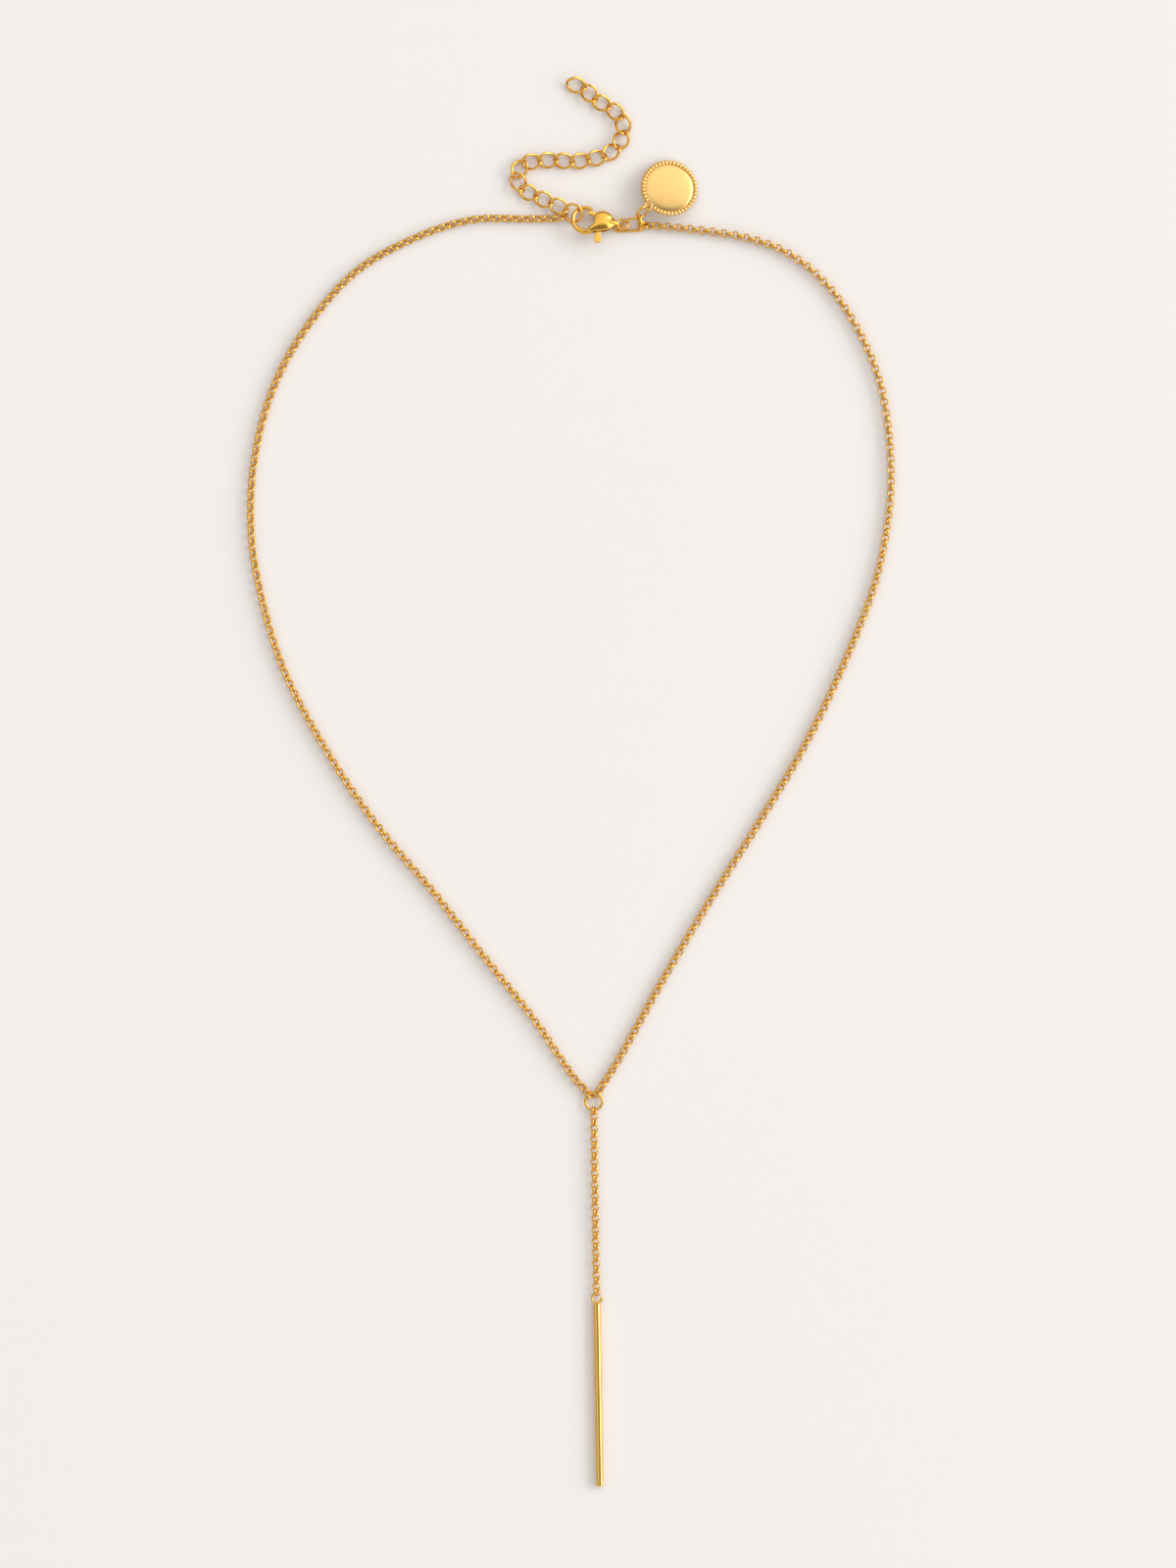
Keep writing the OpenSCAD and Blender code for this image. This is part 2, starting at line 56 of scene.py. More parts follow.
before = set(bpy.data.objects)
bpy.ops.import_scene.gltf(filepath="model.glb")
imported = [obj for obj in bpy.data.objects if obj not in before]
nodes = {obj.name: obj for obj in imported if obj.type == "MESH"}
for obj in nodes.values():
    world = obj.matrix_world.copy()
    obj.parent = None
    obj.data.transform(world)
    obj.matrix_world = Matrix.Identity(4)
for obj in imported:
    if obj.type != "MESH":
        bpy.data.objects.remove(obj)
cad_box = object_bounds()
size = (cad_box[1] - cad_box[0]) / MM
print(f"{len(nodes)} nodes, {size.x:.1f} x {size.y:.1f} x {size.z:.1f} mm")

# %% [markdown]
# The camera looks straight down, as in the photograph. It could stand close with a wide lens, but
# then links near the edges would show their sides. A long lens from a metre above keeps them
# upright. The picture is a portrait, so its height is what the lens is worked out from: 272 mm of
# the surface have to fit in it.

# %% Camera
VIEW_HEIGHT = 272
CAMERA_HEIGHT = 1000
VIEW_CENTRE = Vector((2.9, -0.26, 0))

camera_data = bpy.data.cameras.new("camera")
camera_data.sensor_fit = "VERTICAL"
camera_data.sensor_height = 32
camera_data.lens = camera_data.sensor_height * CAMERA_HEIGHT / VIEW_HEIGHT
camera_data.clip_start = 0.01
camera = bpy.data.objects.new("camera", camera_data)
camera.location = (VIEW_CENTRE + Vector((0, 0, CAMERA_HEIGHT))) * MM
bpy.context.scene.collection.objects.link(camera)
bpy.context.scene.camera = camera
print(f"lens {camera_data.lens:.1f} mm")

# %% [markdown]
# Polished gold shows mostly what is around it. Every finish of the necklace is a metal whose
# colour wanders a little between a light and a deep tone, whose gloss is broken by faint cloudy
# patches, and whose surface has a very slight waviness from tumbling. All of that is the same
# recipe for each finish, so it is built once as a node group and used with other numbers.

# %% A node group for tumbled metal
def new_group(name, inputs, outputs):
    group = bpy.data.node_groups.new(name, "ShaderNodeTree")
    for title, kind, start in inputs:
        socket = group.interface.new_socket(title, in_out="INPUT", socket_type=kind)
        socket.default_value = start
    for title, kind in outputs:
        group.interface.new_socket(title, in_out="OUTPUT", socket_type=kind)
    return group, group.nodes.new("NodeGroupInput"), group.nodes.new("NodeGroupOutput")


tumbled, given, result = new_group(
    "tumbled_metal",
    [("Light", "NodeSocketColor", (1, 0.8, 0.4, 1)), ("Deep", "NodeSocketColor", (0.8, 0.5, 0.1, 1)),
     ("Smoothest", "NodeSocketFloat", 0.1), ("Roughest", "NodeSocketFloat", 0.3),
     ("Waviness", "NodeSocketFloat", 0.1), ("Grain", "NodeSocketVector", (1, 1, 1))],
    [("Color", "NodeSocketColor"), ("Roughness", "NodeSocketFloat"), ("Normal", "NodeSocketVector")],
)
place = tumbled.nodes.new("ShaderNodeTexCoord")
stretch = tumbled.nodes.new("ShaderNodeMapping")
tumbled.links.new(place.outputs["Object"], stretch.inputs["Vector"])
tumbled.links.new(given.outputs["Grain"], stretch.inputs["Scale"])


def noise(scale, detail):
    node = tumbled.nodes.new("ShaderNodeTexNoise")
    node.inputs["Scale"].default_value = scale
    node.inputs["Detail"].default_value = detail
    tumbled.links.new(stretch.outputs["Vector"], node.inputs["Vector"])
    return node.outputs["Fac"]


# Scales are in patches per metre
PATCH_SCALE = 350
CLOUD_SCALE = 1500
WAVE_SCALE = 900
WAVE_HEIGHT = 0.02 * MM

patches = tumbled.nodes.new("ShaderNodeMix")
patches.data_type = "RGBA"
tumbled.links.new(noise(PATCH_SCALE, 2), patches.inputs["Factor"])
tumbled.links.new(given.outputs["Light"], patches.inputs["A"])
tumbled.links.new(given.outputs["Deep"], patches.inputs["B"])
tumbled.links.new(patches.outputs["Result"], result.inputs["Color"])

clouds = tumbled.nodes.new("ShaderNodeMapRange")
clouds.inputs["From Min"].default_value = 0.3
clouds.inputs["From Max"].default_value = 0.7
tumbled.links.new(noise(CLOUD_SCALE, 3), clouds.inputs["Value"])
tumbled.links.new(given.outputs["Smoothest"], clouds.inputs["To Min"])
tumbled.links.new(given.outputs["Roughest"], clouds.inputs["To Max"])
tumbled.links.new(clouds.outputs["Result"], result.inputs["Roughness"])

waves = tumbled.nodes.new("ShaderNodeBump")
waves.inputs["Distance"].default_value = WAVE_HEIGHT
tumbled.links.new(noise(WAVE_SCALE, 1), waves.inputs["Height"])
tumbled.links.new(given.outputs["Waviness"], waves.inputs["Strength"])
tumbled.links.new(waves.outputs["Normal"], result.inputs["Normal"])
print("sockets of the group:", ", ".join(s.name for s in tumbled.interface.items_tree))


# %% [markdown]
# Four finishes come out of the group. The rings, extender and clasp are a warm yellow gold. The
# links of the fine chain are stamped and a little rougher. The bar is drawn wire, so its patches
# are stretched along it, and the tag is paler with a satin face. The shader itself stays in each
# material, because a group puts out only the colour, roughness and normal that it needs.

# %% The finishes
def metal(name, light, deep, smoothest, roughest, waviness, grain=(1, 1, 1)):
    finish = bpy.data.materials.new(name)
    finish.use_nodes = True
    tree = finish.node_tree
    shader = tree.nodes["Principled BSDF"]
    shader.inputs["Metallic"].default_value = 1
    recipe = tree.nodes.new("ShaderNodeGroup")
    recipe.node_tree = tumbled
    recipe.inputs["Light"].default_value = (*light, 1)
    recipe.inputs["Deep"].default_value = (*deep, 1)
    recipe.inputs["Smoothest"].default_value = smoothest
    recipe.inputs["Roughest"].default_value = roughest
    recipe.inputs["Waviness"].default_value = waviness
    recipe.inputs["Grain"].default_value = grain
    tree.links.new(recipe.outputs["Color"], shader.inputs["Base Color"])
    tree.links.new(recipe.outputs["Roughness"], shader.inputs["Roughness"])
    tree.links.new(recipe.outputs["Normal"], shader.inputs["Normal"])
    return finish


polished_gold = metal("polished_gold", (0.9, 0.54, 0.12), (0.8, 0.43, 0.07), 0.13, 0.2, 0.05)
chain_gold = metal("chain_gold", (0.92, 0.56, 0.14), (0.78, 0.42, 0.08), 0.15, 0.22, 0.05)
bar_gold = metal("bar_gold", (0.95, 0.62, 0.19), (0.89, 0.53, 0.14), 0.1, 0.16, 0.05, (1, 0.03, 1))
pale_gold = metal("pale_gold", (0.91, 0.62, 0.24), (0.87, 0.56, 0.19), 0.26, 0.31, 0.03)
print("finishes:", ", ".join(m.name for m in bpy.data.materials if m.name.endswith("gold")))


# %% [markdown]
# Every new piece is finished the same way: its bmesh becomes a mesh with smooth shading and one
# finish, it rides on a body of the imported model, and the nodes it stands for are hidden. One
# function does all of it, so that no step is forgotten for any piece.

# %% Finishing a piece
def finish_piece(name, bm, finish, stands_for, body="necklace"):
    mesh = bpy.data.meshes.new(name)
    bm.to_mesh(mesh)
    bm.free()
    mesh.shade_smooth()
    mesh.materials.append(finish)
    piece = bpy.data.objects.new(name, mesh)
    bpy.context.scene.collection.objects.link(piece)
    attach(piece, body)
    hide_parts(*stands_for)
    print(f"{name}: {len(mesh.polygons)} faces for {len(stands_for)} nodes")


# %% [markdown]
# One link of the fine chain is a short band of flat wire, closed to a ring of 1.5 mm. A torus
# would be too round for it. Spinning a small cross-section round an axis makes it in one step. The
# section has six corners, so that its outside is flat and its edges look rounded under smooth
# shading, and 14 steps round are enough at this size, because the link is repeated more than four
# hundred times.

# %% A chain link
LINK_OD = 1.5
LINK_WIRE = 0.25
LINK_BAND = 0.5
LINK_STEPS = 14


def link_mesh():
    bm = bmesh.new()
    section = bmesh.ops.create_circle(bm, cap_ends=False, segments=6, radius=0.5)["verts"]
    wide = LINK_WIRE / math.cos(math.radians(30))
    middle = (LINK_OD - LINK_WIRE) / 2
    bmesh.ops.transform(bm, verts=section, matrix=Matrix.Translation((middle, 0, 0))
                        @ Matrix.Rotation(math.radians(90), 4, "X")
                        @ Matrix.Diagonal((wide, LINK_BAND, 1, 1))
                        @ Matrix.Rotation(math.radians(30), 4, "Z"))
    bmesh.ops.spin(bm, geom=bm.edges[:], cent=(0, 0, 0), axis=(0, 0, 1), dvec=(0, 0, 0),
                   angle=math.tau, steps=LINK_STEPS, use_merge=True, use_duplicate=False)
    bmesh.ops.recalc_face_normals(bm, faces=bm.faces)
    mesh = bpy.data.meshes.new("one_link")
    bm.to_mesh(mesh)
    bm.free()
    return mesh


one_link = link_mesh()
print(f"one link has {len(one_link.polygons)} faces")


# %% [markdown]
# A chain is that link placed again and again along a route. Each link is turned by a quarter from
# the one before it, and the pair may lean together: where the chain lies on its side, both links
# stand at 45 degrees, and where it lies straight, one stands on edge and the next lies flat. A
# link's middle is as high as it needs to be for the lower of the pair to touch the surface. An
# array along a curve would turn every link the same way, so each place is worked out instead.

# %% Placing links along a route
def curve_point(p0, p1, p2, p3, t):
    return 0.5 * (2 * p1 + (p2 - p0) * t + (2 * p0 - 5 * p1 + 4 * p2 - p3) * t * t
                  + (3 * p1 - p0 - 3 * p2 + p3) * t * t * t)


def smooth_route(points, steps=40):
    points = [Vector((p[0], p[1])) for p in points]
    ends = [2 * points[0] - points[1], *points, 2 * points[-1] - points[-2]]
    line = [curve_point(*ends[i:i + 4], k / steps)
            for i in range(len(points) - 1) for k in range(steps)]
    return [*line, points[-1]]


def even_points(line, pitch):
    lengths = [0]
    for a, b in zip(line, line[1:]):
        lengths.append(lengths[-1] + (b - a).length)
    count = round(lengths[-1] / pitch) + 1
    places, at = [], 0
    for k in range(count):
        want = lengths[-1] * k / (count - 1)
        while at < len(line) - 2 and lengths[at + 1] < want:
            at += 1
        share = (want - lengths[at]) / (lengths[at + 1] - lengths[at])
        places.append(line[at].lerp(line[at + 1], share))
    return places


def between(table, share):
    for (s0, v0), (s1, v1) in zip(table, table[1:]):
        if share <= s1:
            return v0 + (v1 - v0) * (share - s0) / (s1 - s0)
    return table[-1][1]


def rest_height(roll):
    lean, tall, flat = math.radians(roll), LINK_OD / 2, LINK_BAND / 2
    s, c = abs(math.sin(lean)), abs(math.cos(lean))
    return max(tall * s + flat * c, tall * c + flat * s)


def link_frame(place, ahead, roll):
    ahead = ahead.normalized()
    across = Vector((-ahead.y, ahead.x, 0)).normalized()
    up = ahead.cross(across)
    lean = math.radians(roll)
    axis = math.cos(lean) * up + math.sin(lean) * across
    side = axis.cross(ahead)
    matrix = Matrix((ahead, side, axis)).transposed().to_4x4()
    return Matrix.Diagonal((MM, MM, MM, 1)) @ Matrix.Translation(place) @ matrix


def chain_of_links(frames):
    bm = bmesh.new()
    for matrix in frames:
        start = len(bm.verts)
        bm.from_mesh(one_link)
        bm.verts.ensure_lookup_table()
        bmesh.ops.transform(bm, matrix=matrix, verts=bm.verts[start:])
    return bm


print(f"a link's middle rests at {rest_height(90):.2f} mm on edge and {rest_height(45):.2f} mm leaning")

# %% [markdown]
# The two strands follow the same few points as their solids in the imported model. The first and
# last link of each strand hang on a ring, so they keep that end's own height and lean. How much
# the links lean in between is read from the photograph and kept in a short table for each strand:
# the share of its length, and the lean in degrees.

# %% The left and right strand
JUNCTION = Vector((3.9, -55.3))
JUNCTION_RADIUS = 1.47
FOOT_INWARDS = 0.11
FOOT_HEIGHT = 0.67
LINK_PITCH = 0.985
RISING_LINKS = 4
LEFT_TOP_HEIGHT = 0.87
RIGHT_TOP_HEIGHT = 0.8


def on_junction(angle):
    turn, reach = math.radians(angle), JUNCTION_RADIUS - FOOT_INWARDS
    return Vector((JUNCTION.x + reach * math.cos(turn), JUNCTION.y + reach * math.sin(turn)))


left_foot = on_junction(121)
right_foot = on_junction(69)
left_route = [
    (-1.3, 98.4), (-2.4, 97.8), (-7.5, 97.7), (-17.5, 97.5), (-28, 94), (-38, 88), (-46.5, 78),
    (-52, 67.5), (-55, 55.5), (-55.5, 44), (-54, 33.5), (-50, 20), (-43, 6.5), (-34, -7),
    (-23.5, -19.5), (-14.5, -31), (-6.5, -41), (0, -50.5), left_foot,
]
right_route = [
    (12.77, 96.61), (20, 96), (30, 94.5), (38, 91.5), (45, 85.5), (50.5, 77), (54, 67.5),
    (55.4, 56), (55, 46), (52.5, 34), (47, 20), (40.5, 6.5), (32.5, -7), (24, -20.5), (16, -34),
    (8.5, -47.5), right_foot,
]


def strand(name, route, top_height, leans, stands_for):
    places = even_points(smooth_route(route), LINK_PITCH)
    last = len(places) - 1
    frames = []
    for k, place in enumerate(places):
        roll = between(leans, k / last) + 90 * (k % 2)
        height = rest_height(roll)
        for away, end_height in ((k, top_height), (last - k, FOOT_HEIGHT)):
            if away < RISING_LINKS:
                height = end_height + (height - end_height) * away / RISING_LINKS
        ahead = places[min(k + 1, last)] - places[max(k - 1, 0)]
        frames.append(link_frame(Vector((*place, height)), Vector((*ahead, 0)), roll))
    finish_piece(name, chain_of_links(frames), chain_gold, stands_for)
    print(f"{name}: {len(places)} links")


left_leans = [(0, 64), (0.03, 45), (0.45, 45), (0.6, 28), (0.95, 28), (1, 45)]
right_leans = [(0, 49), (0.015, 5), (0.35, 5), (0.5, 28), (0.95, 28), (1, 45)]
strand("left_strand", left_route, LEFT_TOP_HEIGHT, left_leans,
       ["chain_left", "left_top_link", "left_foot_link"])
strand("right_strand", right_route, RIGHT_TOP_HEIGHT, right_leans,
       ["chain_right", "right_top_link", "right_foot_link"])

# %% [markdown]
# The drop chain is straight and hangs from the lowest point of the junction ring. Its 33 links
# are the same as the strands' and need no route: they follow one line that leans a little to the
# right, and every other link shows its opening, as in the photograph.

# %% The drop chain
DROP_LINKS = 33
DROP_LEAN = 0.9
DROP_PITCH = 0.98
DROP_GAP = 0.16
DROP_ROLL = 63
drop_way = Vector((math.sin(math.radians(DROP_LEAN)), -math.cos(math.radians(DROP_LEAN)), 0))
drop_start = Vector((JUNCTION.x, JUNCTION.y - JUNCTION_RADIUS, 0)) + DROP_GAP * drop_way
drop_frames = []
for k in range(DROP_LINKS):
    roll = DROP_ROLL + 90 * (k % 2)
    place = drop_start + k * DROP_PITCH * drop_way + Vector((0, 0, rest_height(roll)))
    drop_frames.append(link_frame(place, drop_way, roll))
finish_piece("drop_strand", chain_of_links(drop_frames), chain_gold, ["drop_chain"])


# %% [markdown]
# Wires that bend through space, such as the twisted links of the extender, are swept. Spinning
# works only round one axis. A curve with a round bevel follows any line and can get thicker along
# it, and it is turned into a mesh before anything else is done with it.

# %% Sweeping a wire
def wire_mesh(points, radii, closed=True, resolution=5):
    curve = bpy.data.curves.new("wire", "CURVE")
    curve.dimensions = "3D"
    curve.bevel_depth = MM
    curve.bevel_resolution = resolution
    curve.use_fill_caps = True
    line = curve.splines.new("POLY")
    line.points.add(len(points) - 1)
    for corner, p, radius in zip(line.points, points, radii):
        corner.co = (*(Vector(p) * MM), 1)
        corner.radius = radius
    line.use_cyclic_u = closed
    swept = bpy.data.objects.new("wire", curve)
    mesh = bpy.data.meshes.new_from_object(swept)
    bm = bmesh.new()
    bm.from_mesh(mesh)
    bpy.data.objects.remove(swept)
    bpy.data.curves.remove(curve)
    bpy.data.meshes.remove(mesh)
    bmesh.ops.remove_doubles(bm, verts=bm.verts, dist=0.001 * MM)
    bmesh.ops.recalc_face_normals(bm, faces=bm.faces)
    return bm


# %% [markdown]
# An extender link is an oval of round wire that has been twisted so that the row lies flat. Its
# two ends are turned 45 degrees each way, which a flat oval can't show, so its middle line is bent
# through space and swept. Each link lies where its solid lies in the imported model, with the
# heading that it has there.

# %% The extender's links
EXTENDER_HALF_LENGTH = 1.71
EXTENDER_HALF_WIDTH = 1.26
EXTENDER_WIRE = 0.47
TWIST = 45


def twisted_oval(steps=48):
    points = []
    for k in range(steps):
        turn = math.tau * k / steps
        bend = -math.radians(TWIST) * math.cos(turn)
        across = EXTENDER_HALF_WIDTH * math.sin(turn)
        points.append(Vector((EXTENDER_HALF_LENGTH * math.cos(turn),
                              across * math.cos(bend), across * math.sin(bend))))
    return points


headings = [
    -15, -50, -25, -40, -80, -115, -145, -170, -170, -190, -175, -175, -125, -65, -25, -25, -25,
]
for number, heading in enumerate(headings, start=1):
    node = f"extender_link_{number}"
    low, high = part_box(node)
    middle = (low + high) / 2 / MM
    turn = Matrix.Translation(middle) @ Matrix.Rotation(math.radians(heading), 4, "Z")
    line = [turn @ p for p in twisted_oval()]
    bm = wire_mesh(line, [EXTENDER_WIRE / 2] * len(line))
    finish_piece(f"oval_link_{number}", bm, polished_gold, [node])

# %% [markdown]
# The connector is a hand-bent loop of wire. It passes through the clasp's tail eye and carries
# the standing ring and the right strand. No simple shape has its bends, so a smooth closed line
# is drawn through a few points of its wire and swept like the links.

# %% The connector
connector_points = [
    (11.05, 97.7, 1.3), (10.3, 97.65, 1.45), (9.6, 97.4, 1.45), (9.2, 97.1, 1.2),
    (8.85, 96.65, 0.8), (8.15, 96.2, 0.42), (7.55, 96, 0.28), (7.75, 95.7, 0.26),
    (8.35, 95.6, 0.26), (9.85, 95.65, 0.26), (11.05, 95.75, 0.28), (12, 95.75, 0.3),
    (12.6, 96.3, 0.5), (12.4, 97.05, 0.85), (11.8, 97.55, 1.15),
]
CONNECTOR_WIRE = 0.46


def closed_line(points, steps):
    points = [Vector(p) for p in points]
    count = len(points)
    return [curve_point(points[i - 1], points[i], points[(i + 1) % count], points[(i + 2) % count],
                        k / steps) for i in range(count) for k in range(steps)]


connector_line = closed_line(connector_points, 8)
connector_bm = wire_mesh(connector_line, [CONNECTOR_WIRE / 2] * len(connector_line))
finish_piece("connector_loop", connector_bm, polished_gold, ["connector"])


# %% [markdown]
# The clasp was cast and tumbled, so no edge on it is sharp. Beveling each edge would need them all
# by name. Its parts are instead put together roughly. A fine voxel remesh then fuses them, cutters
# take away what has to stay open, and some smoothing rounds every edge by about a tenth of a
# millimetre.

# %% Fusing and rounding a casting
def loose_object(name, bm):
    mesh = bpy.data.meshes.new(name)
    bm.to_mesh(mesh)
    bm.free()
    loose = bpy.data.objects.new(name, mesh)
    bpy.context.scene.collection.objects.link(loose)
    return loose


def voxels(rough, size):
    remesh = rough.modifiers.new("remesh", "REMESH")
    remesh.mode = "VOXEL"
    remesh.voxel_size = size * MM


def cast_piece(name, bm, cutters, size, passes, finish, stands_for, body="necklace"):
    rough = loose_object(name, bm)
    voxels(rough, size)
    for cutter in cutters:
        cut = rough.modifiers.new("cut", "BOOLEAN")
        cut.operation = "DIFFERENCE"
        cut.object = cutter
    if cutters:
        voxels(rough, size)
    soften = rough.modifiers.new("soften", "SMOOTH")
    soften.factor = 0.5
    soften.iterations = passes
    depsgraph = bpy.context.evaluated_depsgraph_get()
    cast = bpy.data.meshes.new_from_object(rough.evaluated_get(depsgraph))
    for used in (rough, *cutters):
        bpy.data.objects.remove(used)
    bm = bmesh.new()
    bm.from_mesh(cast)
    bpy.data.meshes.remove(cast)
    finish_piece(name, bm, finish, stands_for, body)


# %% [markdown]
# The clasp lies a little turned and leaning, with its hook round the end ring. It is easiest to
# shape flat, in a frame of its own that has the middle of the hook's opening at the origin and the
# tail eye towards +X. One matrix then puts every part of it in place.

# %% Where the clasp lies
CLASP_PLACE = (Matrix.Scale(MM, 4) @ Matrix.Translation((2.4, 97.7, 1.3))
               @ Matrix.Rotation(math.radians(-6), 4, "Z")
               @ Matrix.Rotation(math.radians(3), 4, "Y")
               @ Matrix.Rotation(math.radians(-14), 4, "X"))
CASTING_VOXEL = 0.045
CASTING_PASSES = 14
print("middle of the hook's opening:", [round(v / MM, 2) for v in CLASP_PLACE.translation])

# %% [markdown]
# Seen from above the body is a teardrop with a foot for the hook. Its outline is a smooth closed
# line through a few points. The table says how far the line reaches in each direction from the
# body's middle, so that a round form can be stretched to it.

# %% The clasp's outline
BODY_MIDDLE = Vector((3.1, -0.2))
body_outline = [
    (5.8, -0.26), (5.4, 0.12), (4.95, 0.5), (4.32, 1.1), (3.75, 1.48), (3.1, 1.62), (2.4, 1.48),
    (1.8, 1.1), (1.4, 0.5), (1.2, -0.3), (0.9, -1.2), (0.5, -2.3), (1.3, -2.4), (2.2, -2.15),
    (3.1, -2.02), (4.2, -1.62), (4.95, -1), (5.4, -0.62),
]
outline_table = sorted((math.atan2(*(p - BODY_MIDDLE).yx), (p - BODY_MIDDLE).length)
                       for p in closed_line(body_outline, 12))
outline_table = [(outline_table[-1][0] - math.tau, outline_table[-1][1]), *outline_table,
                 (outline_table[0][0] + math.tau, outline_table[0][1])]
print(f"the outline has {len(outline_table) - 2} directions")

# %% [markdown]
# The body is full in the middle and thin at its tail. Extruding the outline would leave flat faces
# with a hard edge. A sphere becomes a soft teardrop when each of its points is moved out as far as
# the outline reaches in that direction, and its height falls from the middle to a low rim. The
# fall is round across the body and nearly a straight slope towards the tail.

# %% The clasp's body
BODY_HALF_HEIGHT = 1
BODY_RIM = 0.46
TAIL_THINNING = 0.24

clasp_bm = bmesh.new()
bmesh.ops.create_uvsphere(clasp_bm, u_segments=96, v_segments=48, radius=1)
for vert in clasp_bm.verts:
    out = min(math.hypot(vert.co.x, vert.co.y), 1)
    reach = between(outline_table, math.atan2(vert.co.y, vert.co.x))
    tailwards = max(0, vert.co.x / max(out, 0.01)) ** 2
    rim = BODY_RIM - TAIL_THINNING * tailwards ** 3
    fall = (1 - out ** (2 - 0.6 * tailwards)) ** (0.5 + 0.25 * tailwards)
    height = math.copysign(rim + (BODY_HALF_HEIGHT - rim) * fall, vert.co.z)
    vert.co = CLASP_PLACE @ Vector((*(BODY_MIDDLE + reach * vert.co.xy), height))
print(f"the teardrop has {len(clasp_bm.faces)} faces")

# %% [markdown]
# The hook is a wire that gets thicker towards the body, and the tail eye is a ring of wire. Both
# are swept like the links, and overlap the body where the casting joins them.

# %% The hook and the tail eye
HOOK_MIDDLE = Vector((0, -0.15))
HOOK_BORE_RADIUS = 1.7
HOOK_TIP_HALF = 0.38
HOOK_FOOT_HALF = 0.51
TAIL_EYE = Vector((6.6, -0.28, 0))
TAIL_EYE_RADIUS = 0.86
TAIL_EYE_WIRE = 0.46


def ring_line(middle, radius, steps=32):
    turns = [math.tau * k / steps for k in range(steps)]
    return [middle + Vector((math.cos(turn), math.sin(turn), 0)) * radius for turn in turns]


def add_wire(bm, place, points, radii, closed=True, resolution=5):
    wire = wire_mesh([place @ Vector(p) / MM for p in points], radii, closed, resolution)
    extra = bpy.data.meshes.new("wire")
    wire.to_mesh(extra)
    wire.free()
    bm.from_mesh(extra)
    bpy.data.meshes.remove(extra)


hook_points, hook_radii = [], []
for degrees in range(58, 316, 6):
    turn = math.radians(degrees)
    footwards = max(0, min(1, (degrees - 180) / 90))
    half = HOOK_TIP_HALF + (HOOK_FOOT_HALF - HOOK_TIP_HALF) * footwards
    away = HOOK_BORE_RADIUS + half
    hook_points.append((HOOK_MIDDLE.x + away * math.cos(turn),
                        HOOK_MIDDLE.y + away * math.sin(turn), 0))
    hook_radii.append(half)
add_wire(clasp_bm, CLASP_PLACE, hook_points, hook_radii, closed=False, resolution=8)
eye_points = ring_line(TAIL_EYE, TAIL_EYE_RADIUS)
add_wire(clasp_bm, CLASP_PLACE, eye_points, [TAIL_EYE_WIRE / 2] * len(eye_points), resolution=8)
print(f"with hook and tail eye it has {len(clasp_bm.faces)} faces")

# %% [markdown]
# Three things are cut out of the casting: the round opening of the hook, the space between the two
# cheeks where the lever turns, and the notch under the hook's tip where its nose rests. A cutter
# is a flat outline pulled up to a block, and goes into the frame of the clasp like all the rest.

# %% Cutting the clasp open
OPENING_RADIUS = 1.66
SLOT_HALF_HEIGHT = 0.37
NOTCH_HALF_HEIGHT = 0.6


def flat_cutter(name, outline, half_height):
    bm = bmesh.new()
    face = bm.faces.new([bm.verts.new((*p, -half_height)) for p in outline])
    top = bmesh.ops.extrude_face_region(bm, geom=[face])["geom"]
    bmesh.ops.translate(bm, vec=(0, 0, 2 * half_height),
                        verts=[v for v in top if isinstance(v, bmesh.types.BMVert)])
    bmesh.ops.recalc_face_normals(bm, faces=bm.faces)
    bmesh.ops.transform(bm, matrix=CLASP_PLACE, verts=bm.verts)
    return loose_object(name, bm)


lever_space = flat_cutter("lever_space", [
    (0, 0), (1, -1), (1.5, -1.75), (1.5, -3.4), (4.4, -3.4), (4.4, -1.25), (3.3, -0.8), (2.9, 0.6),
    (2.6, 1.1), (2.25, 1.5), (1.5, 1.95), (0.6, 1.3),
], SLOT_HALF_HEIGHT)
nose_notch = flat_cutter("nose_notch", [
    (2.1, 1.28), (0.5, 1.56), (0.35, 0.7), (1.95, 0.4),
], NOTCH_HALF_HEIGHT)
bore_bm = bmesh.new()
bmesh.ops.create_cone(bore_bm, cap_ends=True, segments=96, radius1=OPENING_RADIUS,
                      radius2=OPENING_RADIUS, depth=4)
bmesh.ops.transform(bore_bm, matrix=CLASP_PLACE @ Matrix.Translation((*HOOK_MIDDLE, 0)),
                    verts=bore_bm.verts)
hook_opening = loose_object("hook_opening", bore_bm)
cast_piece("clasp_casting", clasp_bm, [hook_opening, lever_space, nose_notch],
           CASTING_VOXEL, CASTING_PASSES, polished_gold, ["clasp_body"])

# %% [markdown]
# The lever is flat and has the right outline in the imported model. Drawing it again would gain
# nothing, so a copy of its solid is rounded like the casting. It rides on its own body.

# %% The lever
lever_bm = bmesh.new()
lever_bm.from_mesh(nodes["clasp_lever"].data)
cast_piece("lever_casting", lever_bm, [], CASTING_VOXEL, CASTING_PASSES, polished_gold,
           ["clasp_lever"], "clasp_lever")

# %% [markdown]
# The rivet that the lever turns on is a pin whose ends are hammered to low domed heads. A short
# cylinder and two flattened spheres are fused to one.

# %% The rivet
RIVET_AT = (2.5, -1.85)
RIVET_RADIUS = 0.25
RIVET_LENGTH = 0.9
HEAD_RADIUS = 0.38
HEAD_FLATNESS = 0.35
RIVET_VOXEL = 0.03
RIVET_PASSES = 4

